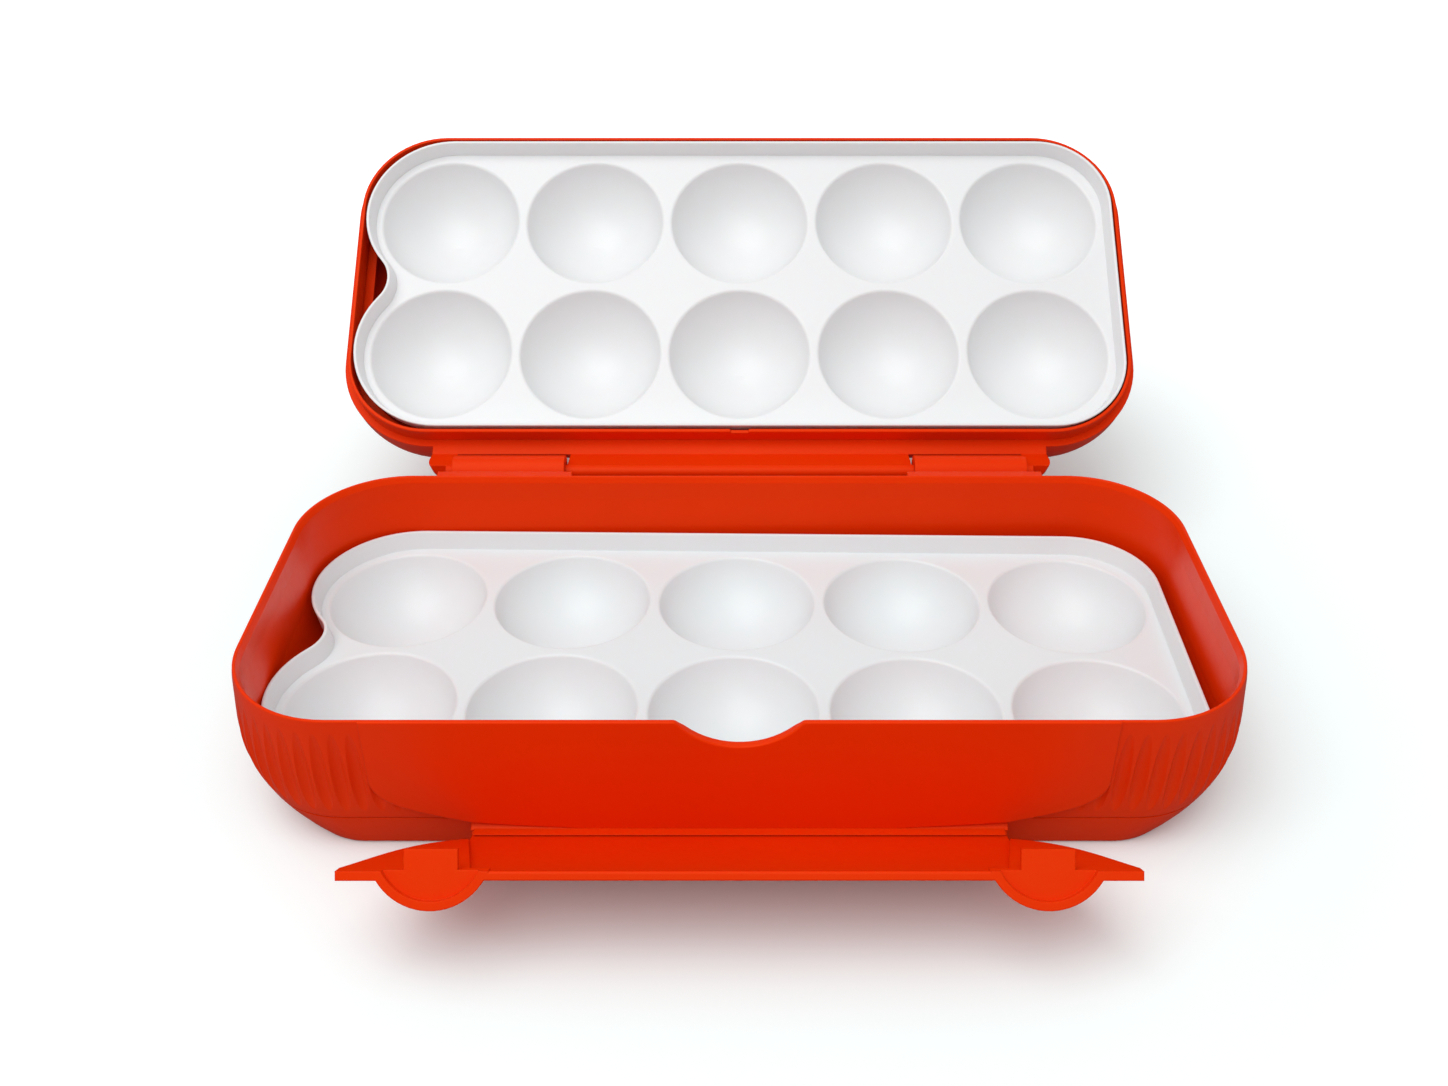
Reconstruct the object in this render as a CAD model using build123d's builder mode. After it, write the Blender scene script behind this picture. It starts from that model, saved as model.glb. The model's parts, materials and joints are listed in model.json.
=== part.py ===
from build123d import *
from math import asin, cos, degrees, pi, radians, sin, sqrt
import os

# Ten-egg keeper: two moulded shells on a snap-in rod hinge, two loose cup trays and a front latch.
# Millimetres. X runs along the box, +Y to the hinge, +Z up, origin at the centre of the base's underside.

# Egg cups
cup_columns = 5
cup_rows = 2
cup_pitch_x = 50.0
cup_row_extra = 0.4
cup_land = 3.0
cup_depth = 17.8
cup_flat = 0.2
cup_round = 1.0

# Trays
tray_skin = 0.9
tray_margin_x = 4.5
tray_margin_y = 5.4
tray_corner_step = 5.0
tray_rim_height = 5.8
tray_rim_slope = 1.1
tray_rim_skin = 1.0
tray_rim_round = 0.4
lobe_notch_radius = 10.6
base_tray_shift = -1.2
base_tray_turn = -0.9

# Base shell
tray_gap_x = 4.0
tray_gap_y = 4.1
base_corner = 30.0
base_height = 46.3
base_floor = 3.0
base_wall = 2.1
rim_wall = 1.55
rim_depth = 7.8
lead_in_width = 0.8
lead_in_depth = 2.0
rim_round = 0.4
foot_round = 1.5
draft_start = 24.5
end_tuck = 15.5
side_tuck_share = 0.3
corner_tuck_share = 0.78
tuck_height = 31.0
tuck_power = 2.5
tuck_steps = 7
end_swell = 2.0
seam_height = 12.0
seam_width = 0.5
seam_depth = 0.35

# Flutes round the ends
flute_low = 13.6
flute_stop = 1.9
flute_pitch = 4.5
flute_width = 3.8
flute_depth = 1.0
flute_end_depth = 0.3
flute_lift = 0.35
flute_run_under = 13.0

# Smooth front panel and thumb notch
panel_margin = 8.3
panel_side_height = 26.8
panel_foot_height = 12.4
panel_low = 9.2
panel_proud = 0.5
panel_foot_slope = 0.3
thumb_depth = 8.0
thumb_half_width = 15.8
thumb_corner = 1.5

# Hinge at the back
hinge_offset = 11.15
hinge_drop = 5.3
rod_radius = 2.2
rod_clearance = 0.08
barrel_wall = 2.9
barrel_margin = 10.2
barrel_length = 35.8
barrel_gap = 0.6
snap_slot = 3.2
foot_ledge_depth = 2.5
foot_ledge_drop = 3.4
foot_ledge_reach = 3.3
web_rise = 2.6
web_drop = 3.6

# Lid shell, described as it lies when the box is shut
parting_gap = 0.2
lid_height = 18.25
lid_wall = 1.25
shoulder_overhang = 0.15
shoulder_thickness = 1.5
lid_overhang_x = 0.8
lid_overhang_y = 0.5
lid_corner = 32.5
lid_widest = 4.4
dome_tuck = 17.0
dome_side_share = 0.62
dome_power = 2.4
dome_steps = (0.0, 0.25, 0.5, 0.7, 0.85, 0.95, 1.0)
lip_length = 6.5
lip_wall = 1.1
lip_round = 0.4
lip_clearance = 0.65
lip_notch_half_width = 3.0
lip_notch_depth = 0.9
lid_ledge_rise = 4.0
lid_ledge_thickness = 1.2
lid_ledge_width = 5.4
flange_thickness = 2.2
flange_overrun = 9.0
flange_corner = 7.6
flange_strip = 3.0
rod_overrun = 2.0
flange_turn = 36.9
open_angle = 142.6

# Front latch, described flat: along its width, and from its film hinge to its free edge
latch_gap = 0.6
latch_axis_z = 8.9
latch_thickness = 2.2
latch_hollow = 1.3
latch_rest_angle = 33.8
latch_round = 0.5
root_bead = 0.8
root_clearance = 0.1
root_margin = 24.7
root_length = 5.8
root_ledge_margin = 0.5
root_ledge_setback = 0.25
root_ledge_rise = 3.8
root_ledge_edge_rise = 1.1
root_ledge_edge_drop = 1.5
root_ledge_slope = 3.4
wing_shoulder = (14.2, 17.4)
wing_flank = (19.8, 28.3)
wing_tip = (24.0, 37.5)
hook_offset = 2.25
hook_width = 12.5
hook_reach = 4.8
hook_thickness = 1.2
hook_clearance = 0.8
hook_gap = 0.3
lip_half_width = 13.5
lip_reach = 9.2
lip_thickness = 3.6
lip_band = 2.1
dish_depth = 1.3
wing_slant = 7.2
catch_thickness = 0.6
pocket_wall = 1.4
pocket_height = 5.6
pocket_depth_clearance = 0.7

# Places that follow from the sizes above
through = 60.0
hair = 0.001
cup_pitch_y = cup_pitch_x + cup_row_extra
cup_radius = (cup_pitch_x - cup_land) / 2
cup_ball = (cup_radius ** 2 + cup_depth ** 2) / (2 * cup_depth)
cup_span = cup_depth + tray_skin - cup_flat
tray_half_length = cup_pitch_x * (cup_columns - 1) / 2 + cup_radius + tray_margin_x
tray_half_depth = cup_pitch_y * (cup_rows - 1) / 2 + cup_radius + tray_margin_y
tray_corner = base_corner - tray_corner_step
base_half_length = tray_half_length + tray_gap_x
base_half_depth = tray_half_depth + tray_gap_y
base_flat = base_half_length - base_corner
flute_high = base_height - flute_stop
panel_half_width = base_flat - panel_margin
base_tray_floor = base_floor + cup_span
rim_half_length = base_half_length - rim_wall
rim_half_depth = base_half_depth - rim_wall
rim_corner = base_corner - rim_wall
parting = base_height + parting_gap
lid_top = parting + lid_height
lid_widest_z = parting + lid_widest
lid_tray_floor = lid_top - lid_wall - cup_span
hinge_y = base_half_depth + hinge_offset
hinge_z = base_height - hinge_drop
hinge_axis = Axis((0, hinge_y, hinge_z), (1, 0, 0))
barrel_radius = rod_radius + rod_clearance + barrel_wall
barrel_outer_x = base_flat - barrel_margin
barrel_x = barrel_outer_x - barrel_length / 2
flange_half_length = barrel_outer_x + flange_overrun
front_face = base_half_depth + panel_proud
latch_axis_y = -(front_face + latch_gap)
latch_length = parting + catch_thickness + hook_gap + hook_thickness + dish_depth - latch_axis_z
root_half_width = panel_half_width - root_margin
panel_foot_half_width = root_half_width + root_ledge_margin
hook_x = root_half_width + hook_offset
latch_plane = Plane(
    origin=(0, latch_axis_y, latch_axis_z),
    x_dir=(1, 0, 0),
    z_dir=(0, -sin(radians(latch_rest_angle)), -cos(radians(latch_rest_angle))),
)


def base_tuck(height):
    """How far the end wall is drawn in at a height above the table."""
    return end_tuck * max(0.0, 1 - height / tuck_height) ** tuck_power


def base_swell(height):
    """How far the end wall stands out beyond the rim at a height above the table."""
    return end_swell * sin(pi * height / base_height)


def base_outline(height, inset=0.0, swell=0.0):
    tuck = base_tuck(height)
    with BuildSketch(Plane.XY.offset(height)) as outline:
        RectangleRounded(
            2 * (base_half_length - tuck - inset + swell),
            2 * (base_half_depth - side_tuck_share * tuck - inset),
            base_corner - corner_tuck_share * tuck - inset,
        )
    return outline.sketch


def rim_outline(height, inset=0.0):
    with BuildSketch(Plane.XY.offset(height)) as outline:
        RectangleRounded(2 * (rim_half_length - inset), 2 * (rim_half_depth - inset), rim_corner - inset)
    return outline.sketch


def spread(low, high, steps):
    return [low + (high - low) * step / (steps - 1) for step in range(steps)]


def round_corner(angle):
    return base_corner * cos(radians(angle)), base_corner * sin(radians(angle))


def rim_places():
    """Points along the outline from the front panel round the +X end to the hinge, with their normals."""
    side = base_half_depth - base_corner
    arc = base_corner * pi / 2
    rear_run = base_flat - panel_half_width
    front_run = rear_run + flute_run_under
    total = front_run + rear_run + 2 * arc + 2 * side
    count = int(total / flute_pitch)
    for index in range(count):
        run = (index + 0.5) * total / count
        if run < front_run:
            yield base_flat - front_run + run, -base_half_depth, -90.0
        elif run < front_run + arc:
            angle = -90 + degrees((run - front_run) / base_corner)
            x, y = round_corner(angle)
            yield base_flat + x, y - side, angle
        elif run < front_run + arc + 2 * side:
            yield base_half_length, -side + run - front_run - arc, 0.0
        elif run < total - rear_run:
            angle = degrees((run - front_run - arc - 2 * side) / base_corner)
            x, y = round_corner(angle)
            yield base_flat + x, y + side, angle
        else:
            yield base_flat - (run - total + rear_run), base_half_depth, 90.0


def flute(x, y, angle):
    """A bent round bar that hollows the wall most at mid height and leaves it at both ends."""
    bar = (flute_width ** 2 / 4 + flute_depth ** 2) / (2 * flute_depth)
    across = abs(cos(radians(angle)))
    tuck_share = (
        corner_tuck_share
        + (1 - corner_tuck_share) * across
        - (corner_tuck_share - side_tuck_share) * abs(sin(radians(angle)))
    )

    def wall_out(height):
        return across * base_swell(height) - tuck_share * base_tuck(height)

    middle = (flute_low + flute_high) / 2
    low_out = wall_out(flute_low) + bar + flute_lift
    middle_out = wall_out(middle) + bar - flute_depth - flute_end_depth * across
    high_out = wall_out(flute_high) + bar + flute_lift
    wall = Plane(origin=(x, y, 0), x_dir=(cos(radians(angle)), sin(radians(angle)), 0),
                 z_dir=(sin(radians(angle)), -cos(radians(angle)), 0))
    with BuildPart() as bent_bar:
        with BuildLine(wall) as path:
            ThreePointArc((low_out, flute_low), (middle_out, middle), (high_out, flute_high))
        with BuildSketch(path.line ^ 0):
            Circle(bar)
        sweep()
    return bent_bar.part


wall_levels = spread(0, tuck_height, tuck_steps) + [(tuck_height + base_height) / 2, base_height]
flutes = [flute(x, y, angle) for x, y, angle in rim_places()]
flutes += [flute(-x, y, 180 - angle) for x, y, angle in rim_places()]

# Base shell
with BuildPart() as base_shell:
    loft(sections=[base_outline(height, swell=base_swell(height)) for height in wall_levels])
    add(flutes, mode=Mode.SUBTRACT)

    # Seam line round the foot
    with BuildSketch(Plane.XY.offset(seam_height)):
        Rectangle(2 * base_half_length + through, 2 * base_half_depth + through)
        add(base_outline(seam_height, seam_depth, base_swell(seam_height)), mode=Mode.SUBTRACT)
    extrude(amount=seam_width, mode=Mode.SUBTRACT)

    # Front panel, proud of the wall
    with BuildSketch(Plane.XZ.offset(front_face)):
        with BuildLine():
            side_line = Line((panel_half_width, base_height), (panel_half_width, panel_side_height))
            Spline(
                side_line @ 1,
                (panel_foot_half_width, panel_foot_height),
                tangents=[(0, -1), (-1, -panel_foot_slope)],
                tangent_scalars=[1.0, 1.0],
            )
            ThreePointArc(
                (panel_foot_half_width, panel_foot_height),
                (0, panel_low),
                (-panel_foot_half_width, panel_foot_height),
            )
            Spline(
                (-panel_foot_half_width, panel_foot_height),
                (-panel_half_width, panel_side_height),
                tangents=[(-1, panel_foot_slope), (0, 1)],
                tangent_scalars=[1.0, 1.0],
            )
            Polyline(
                (-panel_half_width, panel_side_height),
                (-panel_half_width, base_height),
                (panel_half_width, base_height),
            )
        make_face()
    extrude(amount=-(base_wall + side_tuck_share * end_tuck))

    # Ledge that the latch hangs from
    with BuildSketch(Plane.YZ):
        ledge_edge_y = latch_axis_y + root_ledge_setback
        ledge_root_y = -(base_half_depth - side_tuck_share * end_tuck)
        with BuildLine():
            Polyline(
                (ledge_root_y, latch_axis_z + root_ledge_rise),
                (ledge_edge_y + root_ledge_slope, latch_axis_z + root_ledge_rise),
                (ledge_edge_y, latch_axis_z + root_ledge_edge_rise),
                (ledge_edge_y, latch_axis_z - root_ledge_edge_drop),
                (ledge_root_y, latch_axis_z - root_ledge_edge_drop - root_ledge_edge_rise),
                close=True,
            )
        make_face()
    extrude(amount=root_half_width + root_ledge_margin, both=True)
    with BuildSketch(Plane.YZ):
        with Locations((latch_axis_y, latch_axis_z)):
            Circle(root_bead + root_clearance)
    extrude(amount=root_half_width + 2 * root_ledge_margin, both=True, mode=Mode.SUBTRACT)

    # Hinge barrels, their webs and the foot ledges behind the rim
    for side in (-1, 1):
        with BuildSketch(Plane.YZ.offset(side * barrel_x)):
            with Locations((hinge_y, hinge_z)):
                Circle(barrel_radius)
            with BuildLine():
                Polyline(
                    (rim_half_depth, hinge_z - web_drop),
                    (hinge_y, hinge_z - web_drop),
                    (hinge_y, hinge_z + web_rise),
                    (rim_half_depth, hinge_z + web_rise),
                    close=True,
                )
            make_face()
        extrude(amount=barrel_length / 2, both=True)
        with BuildSketch(Plane.YZ.offset(side * barrel_x)):
            with BuildLine():
                Polyline(
                    (rim_half_depth, base_height),
                    (base_half_depth + foot_ledge_depth, base_height),
                    (base_half_depth + foot_ledge_depth, base_height - foot_ledge_drop),
                    (rim_half_depth, base_height - foot_ledge_drop - foot_ledge_depth),
                    close=True,
                )
            make_face()
        extrude(amount=barrel_length / 2 + foot_ledge_reach, both=True)
        with BuildSketch(Plane.YZ.offset(side * barrel_x)):
            with Locations((hinge_y, hinge_z)):
                Circle(rod_radius + rod_clearance)
            with Locations((hinge_y, hinge_z - barrel_radius)):
                Rectangle(snap_slot, 2 * barrel_radius)
        extrude(amount=barrel_length / 2 + barrel_gap, both=True, mode=Mode.SUBTRACT)

    # Inside: cup space, drafted wall and the thin rim that takes the lid's lip
    loft(
        sections=[base_outline(height, base_wall) for height in spread(base_floor, draft_start, tuck_steps)],
        mode=Mode.SUBTRACT,
    )
    loft(
        sections=[base_outline(draft_start, base_wall), rim_outline(base_height - rim_depth)],
        ruled=True,
        mode=Mode.SUBTRACT,
    )
    with BuildSketch(Plane.XY.offset(base_height - rim_depth)):
        RectangleRounded(2 * rim_half_length, 2 * rim_half_depth, rim_corner)
    extrude(amount=2 * rim_depth, mode=Mode.SUBTRACT)
    loft(
        sections=[rim_outline(base_height - lead_in_depth), rim_outline(base_height, -lead_in_width)],
        ruled=True,
        mode=Mode.SUBTRACT,
    )

    # Thumb notch in the front rim
    thumb_radius = (thumb_half_width ** 2 + thumb_depth ** 2) / (2 * thumb_depth)
    with BuildSketch(Plane.XZ.offset(base_half_depth - rim_wall)) as thumb_cut:
        with Locations((0, base_height - thumb_depth + thumb_radius)):
            Circle(thumb_radius)
        with Locations((0, base_height + thumb_radius)):
            Rectangle(4 * thumb_radius, 2 * thumb_radius)
        corners = thumb_cut.vertices().filter_by_position(Axis.Y, base_height - hair, base_height + hair)
        fillet(corners.filter_by_position(Axis.X, -thumb_radius, thumb_radius), thumb_corner)
    extrude(amount=3 * rim_wall, both=True, mode=Mode.SUBTRACT)

    fillet(base_shell.edges().filter_by_position(Axis.Z, base_height - hair, base_height + hair), rim_round)
    fillet(base_shell.edges().filter_by_position(Axis.Z, -hair, hair), foot_round)

base_shell.part.label = "base_shell"


def tray_outline(height, inset):
    """Rounded at the +X end; two lobes with a finger notch between them at the -X end."""
    half_length = tray_half_length - inset
    half_depth = tray_half_depth - inset
    corner = tray_corner - inset
    lobe_y = cup_pitch_y / 2
    lobe = half_depth - lobe_y
    lobe_x = lobe - half_length
    notch = lobe_notch_radius + inset
    swing = degrees(asin(lobe_y / (lobe + notch)))
    notch_x = lobe_x - sqrt((lobe + notch) ** 2 - lobe_y ** 2)
    with BuildSketch(Plane.XY.offset(height)) as outline:
        with BuildLine():
            CenterArc((lobe_x, lobe_y), lobe, 90, 90 + swing)
            CenterArc((notch_x, 0), notch, swing, -2 * swing)
            CenterArc((lobe_x, -lobe_y), lobe, 180 - swing, 90 + swing)
            Line((lobe_x, -half_depth), (half_length - corner, -half_depth))
            CenterArc((half_length - corner, corner - half_depth), corner, 270, 90)
            Line((half_length, corner - half_depth), (half_length, half_depth - corner))
            CenterArc((half_length - corner, half_depth - corner), corner, 0, 90)
            Line((half_length - corner, half_depth), (lobe_x, half_depth))
        make_face()
    return outline.sketch


# One tray, its floor at height zero and its cups below
with BuildPart() as tray:
    with Locations((0, 0, cup_ball - cup_depth)):
        with GridLocations(cup_pitch_x, cup_pitch_y, cup_columns, cup_rows):
            Sphere(cup_ball + tray_skin)
    split(bisect_by=Plane.XY.offset(-tray_skin / 2), keep=Keep.BOTTOM)
    split(bisect_by=Plane.XY.offset(-cup_span), keep=Keep.TOP)
    loft(
        sections=[tray_outline(-tray_skin, tray_rim_slope), tray_outline(tray_rim_height, 0)],
        ruled=True,
    )
    loft(
        sections=[
            tray_outline(0, tray_rim_slope + tray_rim_skin),
            tray_outline(tray_rim_height, tray_rim_skin),
        ],
        ruled=True,
        mode=Mode.SUBTRACT,
    )
    with Locations((0, 0, cup_ball - cup_depth)):
        with GridLocations(cup_pitch_x, cup_pitch_y, cup_columns, cup_rows):
            Sphere(cup_ball, mode=Mode.SUBTRACT)
    mouths = tray.edges().filter_by(GeomType.CIRCLE).filter_by_position(Axis.Z, -hair, hair).filter_by(
        lambda edge: abs(edge.radius - cup_radius) < tray_skin / 2
    )
    fillet(mouths, cup_round)
    fillet(tray.edges().group_by(Axis.Z)[-1], tray_rim_round)

with BuildPart() as base_egg_tray:
    add(tray.part.rotate(Axis.Z, base_tray_turn).moved(Location((base_tray_shift, 0, base_tray_floor))))
base_egg_tray.part.label = "base_egg_tray"

with BuildPart() as lid_egg_tray:
    add(
        tray.part.rotate(Axis.X, 180)
        .moved(Location((0, 0, lid_tray_floor)))
        .rotate(hinge_axis, -open_angle)
    )
lid_egg_tray.part.label = "lid_egg_tray"


def skirt_outline(rise, inset=0.0):
    """Lid wall between the parting line and its widest line."""
    share = rise / lid_widest
    grow_x = shoulder_overhang + (lid_overhang_x - shoulder_overhang) * share
    grow_y = shoulder_overhang + (lid_overhang_y - shoulder_overhang) * share
    corner = base_corner + shoulder_overhang + (lid_corner - base_corner - shoulder_overhang) * share
    with BuildSketch(Plane.XY.offset(parting + rise)) as outline:
        RectangleRounded(
            2 * (base_half_length + grow_x - inset), 2 * (base_half_depth + grow_y - inset), corner - inset
        )
    return outline.sketch


def dome_outline(share, inset=0.0):
    """Lid wall from its widest line, share 0, to its flat top, share 1."""
    tuck = dome_tuck * (1 - (1 - share ** dome_power) ** (1 / dome_power))
    top = lid_top - inset
    with BuildSketch(Plane.XY.offset(lid_widest_z + share * (top - lid_widest_z))) as outline:
        RectangleRounded(
            2 * (base_half_length + lid_overhang_x - tuck - inset),
            2 * (base_half_depth + lid_overhang_y - dome_side_share * tuck - inset),
            lid_corner - dome_side_share * tuck - inset,
        )
    return outline.sketch


# Rear flange of the lid with the hinge rod along its edge
with BuildPart() as flange:
    strip_y = base_half_depth + flange_strip
    flange_across = rod_radius * sin(radians(flange_turn))
    flange_up = rod_radius * cos(radians(flange_turn))
    with BuildSketch(Plane.YZ):
        with BuildLine():
            Polyline(
                (rim_half_depth, parting),
                (strip_y, parting),
                (hinge_y - flange_across, hinge_z - flange_up),
                (hinge_y + flange_across, hinge_z + flange_up),
                (strip_y, parting + flange_thickness),
                (rim_half_depth, parting + flange_thickness),
                close=True,
            )
        make_face()
    extrude(amount=flange_half_length, both=True)
    flange_depth = hinge_y + rod_radius - rim_half_depth
    with BuildSketch(Plane.XY.offset(hinge_z - 2 * rod_radius)) as flange_plan:
        with Locations((0, rim_half_depth + flange_depth / 2)):
            Rectangle(2 * flange_half_length, flange_depth)
        fillet(flange_plan.vertices().group_by(Axis.Y)[-1], flange_corner)
    extrude(amount=hinge_drop + 4 * rod_radius, mode=Mode.INTERSECT)
    for side in (-1, 1):
        with BuildSketch(Plane.XY.offset(hinge_z - 2 * rod_radius)):
            with Locations((side * barrel_x, strip_y + flange_depth / 2)):
                Rectangle(barrel_length + 2 * barrel_gap, flange_depth)
        extrude(amount=hinge_drop + 4 * rod_radius, mode=Mode.SUBTRACT)
    with BuildSketch(Plane.YZ):
        with Locations((hinge_y, hinge_z)):
            Circle(rod_radius)
    extrude(amount=barrel_outer_x + barrel_gap + rod_overrun, both=True)

# Lid shell in its shut place
with BuildPart() as shut_lid:
    loft(sections=[skirt_outline(0), skirt_outline(lid_widest)], ruled=True)
    loft(sections=[dome_outline(share) for share in dome_steps])
    lip_half_length = rim_half_length - lip_clearance
    lip_half_depth = rim_half_depth - lip_clearance
    lip_corner = rim_corner - lip_clearance
    with BuildSketch(Plane.XY.offset(parting - lip_length)):
        RectangleRounded(2 * lip_half_length, 2 * lip_half_depth, lip_corner)
    extrude(amount=lip_length)
    fillet(shut_lid.edges().group_by(Axis.Z)[0], lip_round)
    add(flange.part)

    # Inside
    with BuildSketch(Plane.XY.offset(parting - lip_length)):
        RectangleRounded(
            2 * (lip_half_length - lip_wall), 2 * (lip_half_depth - lip_wall), lip_corner - lip_wall
        )
    extrude(amount=lip_length + shoulder_thickness, mode=Mode.SUBTRACT)
    loft(
        sections=[skirt_outline(shoulder_thickness, lid_wall), skirt_outline(lid_widest, lid_wall)],
        ruled=True,
        mode=Mode.SUBTRACT,
    )
    loft(sections=[dome_outline(share, lid_wall) for share in dome_steps], mode=Mode.SUBTRACT)

    # Narrow ledge inside the wall
    with BuildSketch(Plane.XY.offset(parting + lid_ledge_rise)):
        add(skirt_outline(lid_ledge_rise, lid_wall / 2).moved(Location((0, 0, -parting - lid_ledge_rise))))
        RectangleRounded(
            2 * (base_half_length + lid_overhang_x - lid_wall - lid_ledge_width),
            2 * (base_half_depth + lid_overhang_y - lid_wall - lid_ledge_width),
            lid_corner - lid_wall - lid_ledge_width,
            mode=Mode.SUBTRACT,
        )
    extrude(amount=lid_ledge_thickness)

    # Pockets in the front wall for the latch hooks, each over a thin catch
    pocket_back = latch_axis_y + hook_reach + pocket_depth_clearance
    pocket_width = hook_width + 2 * hook_clearance
    for side in (-1, 1):
        with BuildSketch(Plane.XY.offset(parting)):
            with Locations((side * hook_x, (pocket_back + pocket_wall - base_half_depth) / 2)):
                Rectangle(pocket_width + 2 * pocket_wall, pocket_back + pocket_wall + base_half_depth)
        extrude(amount=catch_thickness + pocket_height + pocket_wall)
        with BuildSketch(Plane.XY.offset(parting + catch_thickness)):
            with Locations((side * hook_x, pocket_back - through / 2)):
                Rectangle(pocket_width, through)
        extrude(amount=pocket_height, mode=Mode.SUBTRACT)

    # Small notch in the rear lip
    with BuildSketch(Plane.XZ.offset(-lip_half_depth)):
        with Locations((0, parting - lip_length)):
            Rectangle(2 * lip_notch_half_width, 2 * lip_notch_depth)
    extrude(amount=2 * lip_wall, both=True, mode=Mode.SUBTRACT)

with BuildPart() as lid_shell:
    add(shut_lid.part.rotate(hinge_axis, -open_angle))
lid_shell.part.label = "lid_shell"

# Front latch: a hollow middle, a wing at each end, two hooks and two finger lips
edge_plane = Plane(
    origin=latch_plane.from_local_coords((0, latch_length, 0)), x_dir=(1, 0, 0), z_dir=latch_plane.y_dir
)
with BuildPart() as front_latch:
    with BuildSketch(Plane(latch_plane.origin, x_dir=latch_plane.y_dir, z_dir=latch_plane.x_dir)):
        with BuildLine():
            Line((0, 0), (0, latch_thickness))
            ThreePointArc(
                (0, latch_thickness),
                (latch_length / 2, latch_thickness + latch_hollow),
                (latch_length, latch_thickness),
            )
            Line((latch_length, latch_thickness), (latch_length, 0))
            ThreePointArc((latch_length, 0), (latch_length / 2, latch_hollow), (0, 0))
        make_face()
        Circle(root_bead)
    extrude(amount=root_half_width, both=True)
    with BuildSketch(latch_plane):
        for side in (-1, 1):
            with BuildLine():
                Polyline(
                    (side * (root_half_width + wing_tip[0]), wing_tip[1]),
                    (side * (root_half_width + wing_tip[0]), latch_length),
                    (side * (root_half_width - wing_slant), latch_length),
                    (side * root_half_width, root_length),
                )
                Spline(
                    (side * root_half_width, root_length),
                    (side * (root_half_width + wing_shoulder[0]), wing_shoulder[1]),
                    (side * (root_half_width + wing_flank[0]), wing_flank[1]),
                    (side * (root_half_width + wing_tip[0]), wing_tip[1]),
                )
            make_face()
    extrude(amount=latch_thickness)

    # Finger lips and hooks, drawn across the free edge
    lip_circle = (lip_half_width ** 2 + lip_reach ** 2) / (2 * lip_reach)
    for side in (-1, 1):
        with BuildSketch(edge_plane) as finger_lip:
            with Locations((side * hook_x, lip_circle - lip_reach)):
                Circle(lip_circle)
            with Locations((side * hook_x, lip_circle)):
                Rectangle(4 * lip_circle, 2 * lip_circle, mode=Mode.SUBTRACT)
        extrude(amount=-lip_thickness)
        with BuildSketch(edge_plane):
            with Locations((side * hook_x, (hook_reach - latch_thickness) / 2)):
                Rectangle(hook_width, hook_reach + latch_thickness)
        extrude(amount=-(dish_depth + hook_thickness))
        with BuildSketch(edge_plane):
            with Locations((side * hook_x, lip_circle - lip_reach)):
                Circle(lip_circle - lip_band)
            with Locations((side * hook_x, lip_circle)):
                Rectangle(4 * lip_circle, 2 * lip_circle, mode=Mode.SUBTRACT)
            with Locations((side * hook_x, hook_reach / 2)):
                Rectangle(hook_width, hook_reach)
        extrude(amount=-dish_depth, mode=Mode.SUBTRACT)

    # Rounded lines along the free edge
    free_edge = front_latch.edges().group_by(Axis(latch_plane.origin, latch_plane.y_dir))[-1]
    fillet(free_edge.filter_by(Axis.X).filter_by(lambda edge: edge.length > hook_width), latch_round)

front_latch.part.label = "front_latch"

os.makedirs("parts", exist_ok=True)
for piece in (base_shell, lid_shell, base_egg_tray, lid_egg_tray, front_latch):
    export_step(piece.part, f"parts/{piece.part.label}.step")
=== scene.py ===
import json
from math import radians

import bpy
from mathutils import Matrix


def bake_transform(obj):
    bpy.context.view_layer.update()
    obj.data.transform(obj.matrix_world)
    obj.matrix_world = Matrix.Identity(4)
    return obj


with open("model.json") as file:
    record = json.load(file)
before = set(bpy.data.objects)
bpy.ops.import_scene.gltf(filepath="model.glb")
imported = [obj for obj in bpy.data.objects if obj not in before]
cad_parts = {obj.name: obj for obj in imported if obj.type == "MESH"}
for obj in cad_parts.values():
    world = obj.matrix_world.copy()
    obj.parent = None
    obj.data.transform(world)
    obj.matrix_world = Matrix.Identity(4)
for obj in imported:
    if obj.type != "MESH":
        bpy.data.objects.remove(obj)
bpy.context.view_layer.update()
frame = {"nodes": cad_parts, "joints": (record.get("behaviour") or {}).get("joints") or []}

bl_info = {
    "name": "Egg Keeper",
    "version": (1, 0, 0),
    "blender": (4, 5, 0),
    "location": "View3D > Sidebar > Egg Keeper",
    "description": "Finishes, film hinge, studio and camera for a ten-cup egg keeper with a flip lid",
    "category": "Object",
}

MM = 0.001
SMOOTH_ANGLE = radians(40)
SENSOR_WIDTH = 36.0
EDGE_SAMPLES = 6
WHITE = (1.0, 1.0, 1.0)
FILM_COLUMNS = 2

# Where the Mix node keeps its two colours and its result
MIX_FIRST, MIX_SECOND, MIX_RESULT = 6, 7, 2

# Patterns in the plastics, with their scale in waves a metre
SHELL_CLOUDS = {"scale": 18.0, "detail": 3.0}
SHELL_SCUFFS = {"scale": 260.0, "detail": 4.0, "roughness": 0.65}
SHELL_SCUFF_SPAN = (-0.05, 0.09)
SHELL_GRAIN = {"scale": 1500.0}
SHELL_RIPPLE = {"scale": 90.0}
RIPPLE_SHARE = 2.0
SHELL_BUMP = {"strength": 0.12, "distance": 0.12 * MM}
TRAY_CLOUDS = {"scale": 22.0, "detail": 3.0}
TRAY_SCUFFS = {"scale": 310.0, "detail": 4.0, "roughness": 0.6}
TRAY_SCUFF_SPAN = (-0.04, 0.08)
TRAY_GRAIN = {"scale": 1300.0}
TRAY_BUMP = {"strength": 0.08, "distance": 0.1 * MM}

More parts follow.
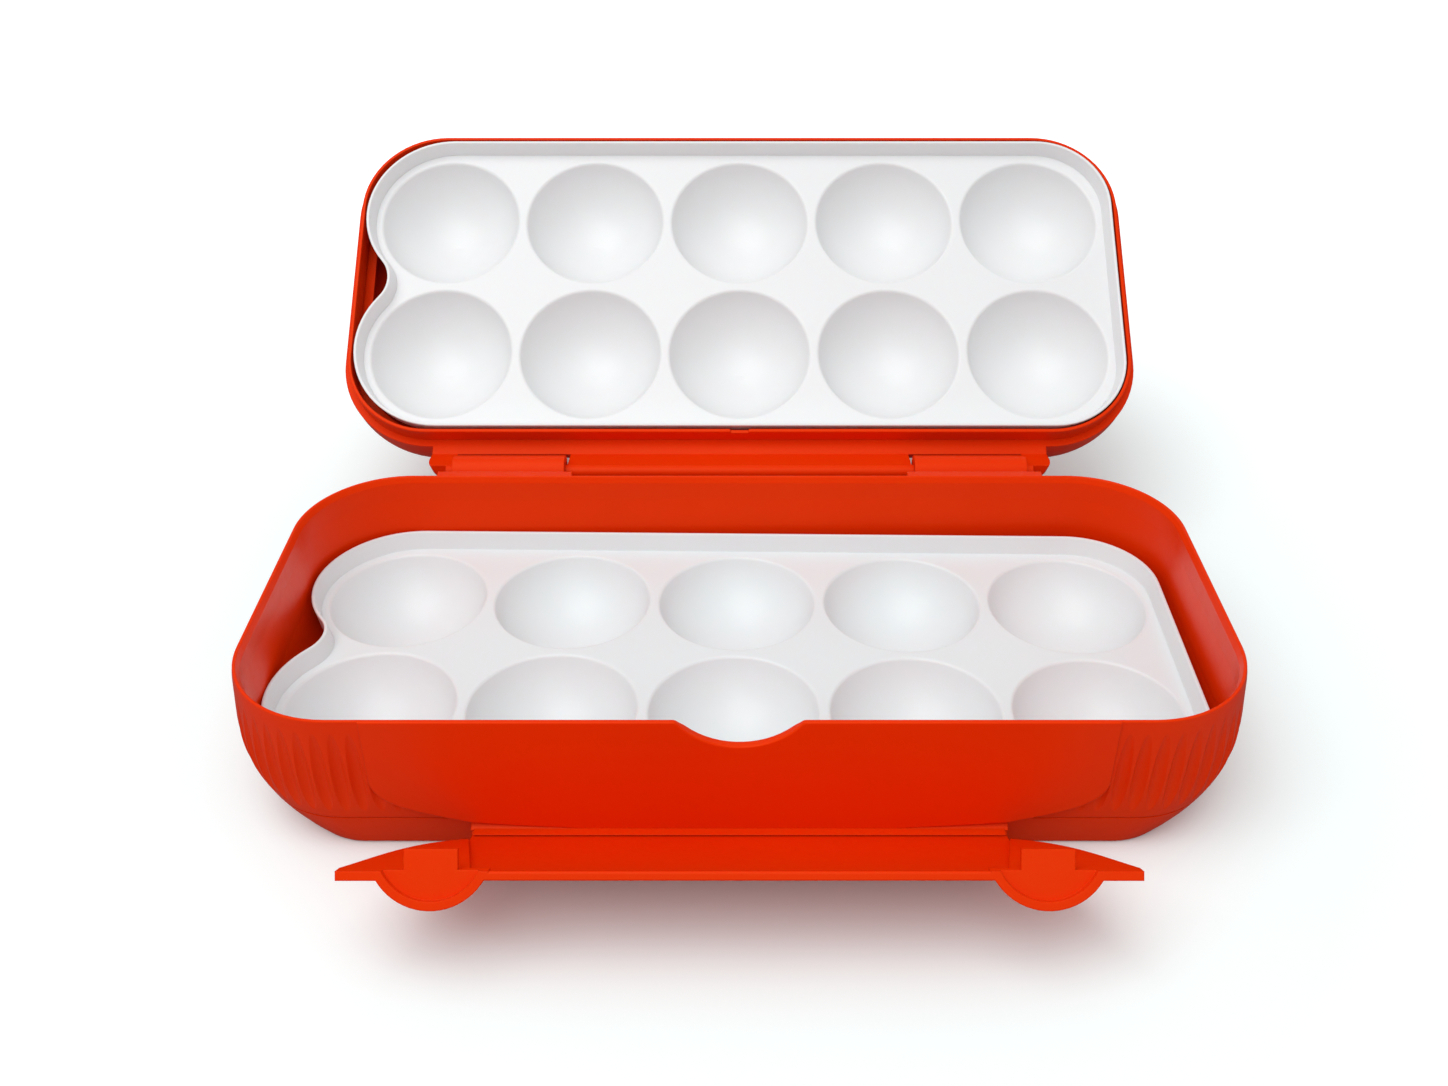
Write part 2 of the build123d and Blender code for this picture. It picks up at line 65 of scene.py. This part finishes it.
# How light enters each plastic
SHELL_BODY = {
    "IOR": 1.45,
    "Subsurface Weight": 0.15,
    "Subsurface Radius": (1.0, 0.12, 0.02),
    "Subsurface Scale": 1.5 * MM,
}
TRAY_BODY = {"IOR": 1.49, "Subsurface Weight": 0.08, "Subsurface Scale": 3 * MM}


def joint(name):
    return next(entry for entry in frame["joints"] if entry["name"] == name)


class Value:
    """A shader socket that can stand in a sum; each sum adds its Math node."""

    def __init__(self, finish, socket):
        self.finish = finish
        self.socket = socket

    def math(self, operation, first, second):
        return self.finish.node("ShaderNodeMath", {"operation": operation}, [first, second])

    def __add__(self, other):
        return self.math("ADD", self, other)

    def __mul__(self, other):
        return self.math("MULTIPLY", self, other)

    __radd__ = __add__
    __rmul__ = __mul__


class Finish:
    """The nodes of a material or a world: one method makes every node."""

    def __init__(self, owner, output="ShaderNodeOutputMaterial"):
        self.owner = owner
        owner.use_nodes = True
        self.tree = owner.node_tree
        self.tree.nodes.clear()
        self.output = self.tree.nodes.new(output)

    def node(self, kind, settings=None, inputs=(), output=0):
        made = self.tree.nodes.new(kind)
        for key, value in (settings or {}).items():
            setattr(made, key, value)
        pairs = inputs.items() if isinstance(inputs, dict) else enumerate(inputs)
        for key, value in pairs:
            if isinstance(value, Value):
                self.tree.links.new(value.socket, made.inputs[key])
            else:
                made.inputs[key].default_value = value
        return Value(self, made.outputs[output])

    def places(self):
        return self.node("ShaderNodeTexCoord", output="Object")

    def noise(self, scale, detail=2.0, roughness=0.5):
        sockets = {"Vector": self.places(), "Scale": scale, "Detail": detail, "Roughness": roughness}
        return self.node("ShaderNodeTexNoise", inputs=sockets, output="Fac")

    def range(self, value, low, high, start=0.0, end=1.0):
        sockets = {"Value": value, "From Min": start, "From Max": end, "To Min": low, "To Max": high}
        return self.node("ShaderNodeMapRange", inputs=sockets, output="Result")

    def ray(self, kind):
        return self.node("ShaderNodeLightPath", output=f"Is {kind} Ray")

    def mix(self, share, first, second):
        sockets = {"Factor": share, MIX_FIRST: first, MIX_SECOND: second}
        return self.node("ShaderNodeMix", {"data_type": "RGBA"}, sockets, output=MIX_RESULT)

    def soft_edges(self, radius):
        return self.node("ShaderNodeBevel", {"samples": EDGE_SAMPLES}, {"Radius": radius}, output="Normal")

    def bump(self, height, strength, distance, normal):
        sockets = {"Height": height, "Strength": strength, "Distance": distance, "Normal": normal}
        return self.node("ShaderNodeBump", inputs=sockets, output="Normal")

    def surface(self, shader):
        self.tree.links.new(shader.socket, self.output.inputs["Surface"])
        return self.owner


def rgba(colour):
    return (*colour, 1.0)


def shell_plastic(look):
    """Orange-red moulded polypropylene: faint flow clouds, a fine grain and dulled scuffs."""
    finish = Finish(bpy.data.materials.new("shell_plastic"))
    clouds = finish.noise(**SHELL_CLOUDS)
    colour = finish.mix(clouds, rgba(look.shell_deep), rgba(look.shell_bright))
    low, high = (look.shell_gloss + step for step in SHELL_SCUFF_SPAN)
    roughness = finish.range(finish.noise(**SHELL_SCUFFS), low, high)
    grain = finish.noise(**SHELL_GRAIN) + finish.noise(**SHELL_RIPPLE) * RIPPLE_SHARE
    normal = finish.bump(grain, normal=finish.soft_edges(look.edge_softness), **SHELL_BUMP)
    sockets = {
        "Base Color": colour,
        "Roughness": roughness,
        "Normal": normal,
        "Specular IOR Level": look.shell_shine,
        "Specular Tint": rgba(look.shell_glint),
        **SHELL_BODY,
    }
    return finish.surface(finish.node("ShaderNodeBsdfPrincipled", inputs=sockets))


def tray_plastic(name, look, tint):
    """White moulded tray: slightly waxy, with a soft satin grain; tint scales its tones, and on the base
    tray it is a painted light offset.
    """
    finish = Finish(bpy.data.materials.new(name))
    clouds = finish.noise(**TRAY_CLOUDS)
    # tint takes red out of the base tray's tones: a painted offset against the red light its walls bounce
    # onto it
    shade = [tone * part for tone, part in zip(look.tray_shade, tint)]
    white = [tone * part for tone, part in zip(look.tray_white, tint)]
    colour = finish.mix(clouds, rgba(shade), rgba(white))
    low, high = (look.tray_gloss + step for step in TRAY_SCUFF_SPAN)
    roughness = finish.range(finish.noise(**TRAY_SCUFFS), low, high)
    soft_edges = finish.soft_edges(look.edge_softness)
    normal = finish.bump(finish.noise(**TRAY_GRAIN), normal=soft_edges, **TRAY_BUMP)
    sockets = {"Base Color": colour, "Roughness": roughness, "Normal": normal, **TRAY_BODY}
    return finish.surface(finish.node("ShaderNodeBsdfPrincipled", inputs=sockets))


def studio_floor(studio):
    """Floor with painted shade near the keeper that burns out to white away from it, keeps its shadow and
    sends back less light.
    """
    finish = Finish(bpy.data.materials.new("studio_floor"))
    sent_back = finish.mix(finish.ray("Glossy"), rgba(studio.floor_bounce), rgba(studio.floor_mirrored))
    reach = finish.node("ShaderNodeVectorMath", {"operation": "LENGTH"}, [finish.places()], output="Value")
    # Painted shade: to the camera the floor is darker and less red near the keeper, and fades to the far
    # white
    fade = finish.range(reach, 0.0, 1.0, studio.fade_start, studio.fade_end)
    white = finish.mix(fade, rgba(studio.floor_near_painted_shade), rgba(studio.floor_white))
    shade = finish.mix(finish.ray("Camera"), sent_back, white)
    return finish.surface(finish.node("ShaderNodeBsdfDiffuse", inputs={"Color": shade}))


def studio_world(studio):
    """Light from all round that looks white to the camera and dark in the keeper's reflections."""
    finish = Finish(bpy.data.worlds.new("studio_world"), "ShaderNodeOutputWorld")
    unseen = finish.range(finish.ray("Glossy"), studio.world_light, studio.world_mirrored)
    strength = finish.range(finish.ray("Camera"), unseen, 1.0)
    sockets = {"Color": rgba(WHITE), "Strength": strength}
    return finish.surface(finish.node("ShaderNodeBackground", inputs=sockets))


class KeeperLook(bpy.types.PropertyGroup):
    shell_deep: bpy.props.FloatVectorProperty(
        name="Shell colour, deep",
        description="Darker tone of the moulded shells",
        subtype="COLOR",
        default=(0.77, 0.029, 0.0005),
    )
    shell_bright: bpy.props.FloatVectorProperty(
        name="Shell colour, bright",
        description="Lighter tone of the moulded shells",
        subtype="COLOR",
        default=(0.84, 0.037, 0.0006),
    )
    shell_gloss: bpy.props.FloatProperty(
        name="Shell roughness",
        description="Middle roughness of the shells; lower is glossier",
        subtype="FACTOR",
        default=0.33,
    )
    shell_shine: bpy.props.FloatProperty(
        name="Shell shine",
        description="Strength of the mirror-like reflection; a half is the plain strength",
        subtype="FACTOR",
        default=0.3,
    )
    shell_glint: bpy.props.FloatVectorProperty(
        name="Shell glint",
        description="Tint of the reflection seen straight on",
        subtype="COLOR",
        default=(1.0, 0.42, 0.2),
    )
    edge_softness: bpy.props.FloatProperty(
        name="Edge softness",
        description="Radius over which moulded edges look rounded",
        unit="LENGTH",
        default=0.45 * MM,
    )
    tray_white: bpy.props.FloatVectorProperty(
        name="Tray colour",
        description="Lighter tone of the trays",
        subtype="COLOR",
        default=(0.85, 0.85, 0.858),
    )
    tray_shade: bpy.props.FloatVectorProperty(
        name="Tray colour, shaded",
        description="Darker tone of the trays",
        subtype="COLOR",
        default=(0.82, 0.82, 0.828),
    )
    # Painted light offset: less red on the base tray only, to cancel the red light its walls throw on it
    base_tray_bounce_offset: bpy.props.FloatVectorProperty(
        name="Base tray tint",
        description="Takes off some of the red that the base's walls throw on its tray",
        subtype="COLOR",
        default=(0.955, 0.995, 1.0),
    )
    tray_gloss: bpy.props.FloatProperty(
        name="Tray roughness",
        description="Middle roughness of the trays; lower is glossier",
        subtype="FACTOR",
        default=0.34,
    )


class KeeperStudio(bpy.types.PropertyGroup):
    floor_white: bpy.props.FloatVectorProperty(
        name="Floor white",
        description="Brightness of the far floor to the camera",
        subtype="COLOR",
        soft_max=2.5,
        default=(2.0, 2.0, 2.0),
    )
    # Painted shade around the keeper: the near floor is dimmer and less red than the far floor
    floor_near_painted_shade: bpy.props.FloatVectorProperty(
        name="Floor near the keeper",
        description="Brightness of the near floor to the camera; a little less red keeps the shadow grey",
        subtype="COLOR",
        soft_max=2.0,
        default=(0.95, 1.05, 1.05),
    )
    fade_start: bpy.props.FloatProperty(
        name="Fade start",
        description="Distance from the keeper's middle at which the floor starts to brighten",
        unit="LENGTH",
        default=0.17,
    )
    fade_end: bpy.props.FloatProperty(
        name="Fade end",
        description="Distance from the keeper's middle at which the floor is at its brightest",
        unit="LENGTH",
        default=0.9,
    )
    floor_bounce: bpy.props.FloatVectorProperty(
        name="Floor bounce",
        description="How much light the floor sends back to the keeper",
        subtype="COLOR",
        default=(0.5, 0.5, 0.5),
    )
    floor_mirrored: bpy.props.FloatVectorProperty(
        name="Floor mirrored",
        description="Brightness of the floor in the keeper's reflections",
        subtype="COLOR",
        default=(0.14, 0.14, 0.14),
    )
    world_light: bpy.props.FloatProperty(
        name="World light",
        description="Light that comes from all round",
        default=0.62,
    )
    world_mirrored: bpy.props.FloatProperty(
        name="World mirrored",
        description="Brightness of the surroundings in the keeper's reflections",
        default=0.03,
    )
    key_place: bpy.props.FloatVectorProperty(
        name="Key lamp place",
        description="Where the large lamp over the keeper hangs",
        subtype="TRANSLATION",
        unit="LENGTH",
        default=(-0.35, -0.4, 1.3),
    )
    key_size: bpy.props.FloatProperty(
        name="Key lamp size",
        description="Length of each side of the large lamp",
        unit="LENGTH",
        default=1.2,
    )
    key_power: bpy.props.FloatProperty(
        name="Key lamp power",
        description="Power of the large lamp",
        unit="POWER",
        default=10.0,
    )
    front_place: bpy.props.FloatVectorProperty(
        name="Front lamp place",
        description="Where the weak lamp in front of the keeper stands",
        subtype="TRANSLATION",
        unit="LENGTH",
        default=(0.1, -1.2, 1.1),
    )
    front_size: bpy.props.FloatProperty(
        name="Front lamp size",
        description="Length of each side of the weak lamp",
        unit="LENGTH",
        default=1.0,
    )
    front_power: bpy.props.FloatProperty(
        name="Front lamp power",
        description="Power of the weak lamp",
        unit="POWER",
        default=2.5,
    )
    floor_size: bpy.props.FloatProperty(
        name="Floor size",
        description="Length of each side of the floor",
        unit="LENGTH",
        default=12.0,
    )
    camera_place: bpy.props.FloatVectorProperty(
        name="Camera place",
        description="Where the camera stands",
        subtype="TRANSLATION",
        unit="LENGTH",
        default=(0.0, -0.3178, 0.2736),
    )
    camera_dip: bpy.props.FloatProperty(
        name="Camera dip",
        description="Angle of the camera below the horizon",
        subtype="ANGLE",
        default=radians(33.93),
    )
    camera_lens: bpy.props.FloatProperty(
        name="Camera lens",
        description="Focal length in millimetres on a 36 mm sensor",
        default=34.77,
    )
    camera_shift: bpy.props.FloatProperty(
        name="Camera shift",
        description="Sideways shift of the lens as a share of the width",
        default=-0.0107,
    )


class FilmSizes(bpy.types.PropertyGroup):
    half_width: bpy.props.FloatProperty(
        name="Film half width",
        description="Half the length of the film hinge along the box",
        unit="LENGTH",
        default=68.6 * MM,
    )
    thickness: bpy.props.FloatProperty(
        name="Film thickness",
        description="Thickness of the film hinge",
        unit="LENGTH",
        default=0.3 * MM,
    )
    span: bpy.props.FloatProperty(
        name="Film span",
        description="Length of the film from the base's ledge to the latch",
        unit="LENGTH",
        default=2.35 * MM,
    )
    setback: bpy.props.FloatProperty(
        name="Film setback",
        description="How far behind the latch's axis the film starts",
        unit="LENGTH",
        default=0.7 * MM,
    )
    rise: bpy.props.FloatProperty(
        name="Film rise",
        description="Height of the film above the latch's axis",
        unit="LENGTH",
        default=1.05 * MM,
    )
    steps: bpy.props.IntProperty(
        name="Film steps",
        description="Number of strips that let the film bend",
        default=8,
    )


def deselect():
    if bpy.context.object and bpy.context.object.mode != "OBJECT":
        bpy.ops.object.mode_set(mode="OBJECT")
    bpy.ops.object.select_all(action="DESELECT")


def dress(piece, material):
    piece.data.materials.clear()
    piece.data.materials.append(material)


class KEEPER_OT_shells(bpy.types.Operator):
    """Gives both shells and the latch their orange-red plastic"""

    bl_idname = "keeper.shells"
    bl_label = "Finish the Shells"

    def execute(self, context):
        material = shell_plastic(context.scene.keeper_look)
        for name in ("base_shell", "lid_shell", "front_latch"):
            dress(frame["nodes"][name], material)
        return {"FINISHED"}


class KEEPER_OT_trays(bpy.types.Operator):
    """Gives both trays their white plastic, the base tray's with a painted offset against red bounced light
    """

    bl_idname = "keeper.trays"
    bl_label = "Finish the Trays"

    def execute(self, context):
        look = context.scene.keeper_look
        dress(frame["nodes"]["lid_egg_tray"], tray_plastic("lid_tray_plastic", look, WHITE))
        # The base tray's tint is a painted offset against the red light from its walls
        dress(frame["nodes"]["base_egg_tray"], tray_plastic("base_tray_plastic", look, look.base_tray_bounce_offset))
        return {"FINISHED"}


class KEEPER_OT_film(bpy.types.Operator):
    """Adds the thin flat strip that joins the latch to the base"""

    bl_idname = "keeper.film"
    bl_label = "Add the Film Hinge"

    def execute(self, context):
        sizes = context.scene.keeper_film
        axis_y, axis_z = joint("latch_hinge")["pos_m"][1:]
        fixed_edge = axis_y + sizes.setback
        free_edge = fixed_edge - sizes.span
        height = axis_z + sizes.rise
        deselect()
        bpy.ops.mesh.primitive_grid_add(
            x_subdivisions=FILM_COLUMNS,
            y_subdivisions=sizes.steps,
            size=1.0,
            location=(0, (fixed_edge + free_edge) / 2, height),
        )
        film = context.object
        film.name = "latch_film"
        film.scale = (2 * sizes.half_width, sizes.span, 1)
        bpy.ops.object.transform_apply()
        skin = film.modifiers.new("skin", "SOLIDIFY")
        skin.thickness = sizes.thickness
        skin.offset = 1
        bpy.ops.object.modifier_apply(modifier=skin.name)
        bpy.ops.object.shade_smooth_by_angle(angle=SMOOTH_ANGLE)
        dress(film, frame["nodes"]["base_shell"].data.materials[0])
        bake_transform(film)
        return {"FINISHED"}


class KEEPER_OT_stage(bpy.types.Operator):
    """Adds the floor, the lamps, the world and the camera"""

    bl_idname = "keeper.stage"
    bl_label = "Set the Stage"

    def execute(self, context):
        studio = context.scene.keeper_studio
        deselect()
        bpy.ops.mesh.primitive_plane_add(size=studio.floor_size, location=(0, 0, 0))
        floor = context.object
        floor.name = "studio_floor"
        dress(floor, studio_floor(studio))
        self.add_lamp("key_lamp", studio.key_place, studio.key_size, studio.key_power)
        self.add_lamp("front_lamp", studio.front_place, studio.front_size, studio.front_power)
        context.scene.world = studio_world(studio)
        context.scene.view_settings.view_transform = "Standard"
        self.add_camera(context.scene, studio)
        return {"FINISHED"}

    @staticmethod
    def add_lamp(name, place, size, power):
        bpy.ops.object.light_add(type="AREA", location=place)
        lamp = bpy.context.object
        lamp.name = name
        lamp.data.size = size
        lamp.data.energy = power
        aim = -lamp.location
        lamp.rotation_euler = aim.to_track_quat("-Z", "Y").to_euler()

    @staticmethod
    def add_camera(scene, studio):
        bpy.ops.object.camera_add(
            location=studio.camera_place, rotation=(radians(90) - studio.camera_dip, 0, 0)
        )
        camera = bpy.context.object
        camera.name = "keeper_camera"
        camera.data.lens = studio.camera_lens
        camera.data.sensor_width = SENSOR_WIDTH
        camera.data.shift_x = studio.camera_shift
        scene.camera = camera


class KEEPER_PT_panel(bpy.types.Panel):
    """Lists the steps that dress the egg keeper"""

    bl_idname = "KEEPER_PT_panel"
    bl_label = "Egg Keeper"
    bl_space_type = "VIEW_3D"
    bl_region_type = "UI"
    bl_category = "Egg Keeper"

    def draw(self, context):
        for step in STEPS:
            self.layout.operator(step.bl_idname)
        for group in (context.scene.keeper_look, context.scene.keeper_studio, context.scene.keeper_film):
            for name in group.bl_rna.properties.keys():
                if name not in ("rna_type", "name"):
                    self.layout.prop(group, name)


STEPS = (KEEPER_OT_stage, KEEPER_OT_shells, KEEPER_OT_trays, KEEPER_OT_film)
GROUPS = {"keeper_look": KeeperLook, "keeper_studio": KeeperStudio, "keeper_film": FilmSizes}


def register():
    for group in GROUPS.values():
        bpy.utils.register_class(group)
    for step in (*STEPS, KEEPER_PT_panel):
        bpy.utils.register_class(step)
    for name, group in GROUPS.items():
        setattr(bpy.types.Scene, name, bpy.props.PointerProperty(type=group))


def unregister():
    for name in GROUPS:
        delattr(bpy.types.Scene, name)
    for step in (*STEPS, KEEPER_PT_panel):
        bpy.utils.unregister_class(step)
    for group in GROUPS.values():
        bpy.utils.unregister_class(group)


def main():
    register()
    bpy.ops.keeper.stage()
    bpy.ops.keeper.shells()
    bpy.ops.keeper.trays()
    bpy.ops.keeper.film()


if __name__ == "__main__":
    main()
